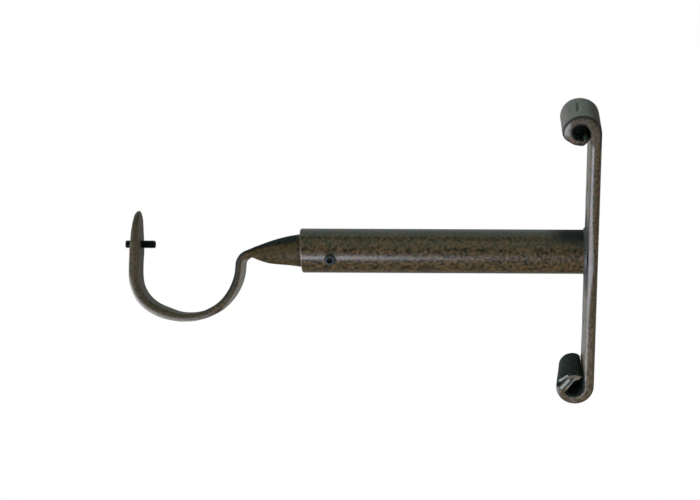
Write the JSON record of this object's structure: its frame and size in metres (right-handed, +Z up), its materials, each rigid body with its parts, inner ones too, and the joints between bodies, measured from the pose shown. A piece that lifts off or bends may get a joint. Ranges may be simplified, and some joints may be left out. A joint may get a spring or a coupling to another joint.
{
  "type": "curtain pole bracket",
  "caption": "Wrought-iron wall bracket for a curtain pole: scrolled wall bar, welded tube, sliding rod forged into an open cup, with a clamp screw and a pole screw.",
  "frame": {"origin": "on the wall, at the back of the wall bar, on the tube's axis", "axes": "+X away from the wall along the tube, +Z up, +Y to the clamp screw's side"},
  "size_m": [0.1709, 0.029, 0.1127],
  "materials": {
    "bar_iron": "black wrought iron, waxed, with rust-brown speckles",
    "tube_iron": "drawn tube, blackened, with rust-brown speckles",
    "weld_iron": "dressed weld, blackened",
    "arm_iron": "forged iron, blackened and waxed",
    "screw_steel": "black oxide"
  },
  "bodies": {
    "wall_mount": {"wall_plate": "bar_iron", "socket_tube": "tube_iron", "weld_bead": "weld_iron"},
    "arm": {"hook_arm": "arm_iron"},
    "clamp_screw": {"clamp_screw": "screw_steel"},
    "pole_screw": {"pole_screw": "screw_steel"}
  },
  "joints": [
    {"name": "arm_slide", "type": "slide", "parent": "wall_mount", "child": "arm", "axis": [1, 0, 0], "range_m": [0, 0.06]},
    {"name": "clamp_screw_travel", "type": "slide", "parent": "wall_mount", "child": "clamp_screw", "axis": [0, 1, 0], "range_m": [0, 0.0015]},
    {"name": "pole_screw_travel", "type": "slide", "parent": "arm", "child": "pole_screw", "axis": [1, 0, 0], "range_m": [-0.0015, 0.0045]}
  ]
}
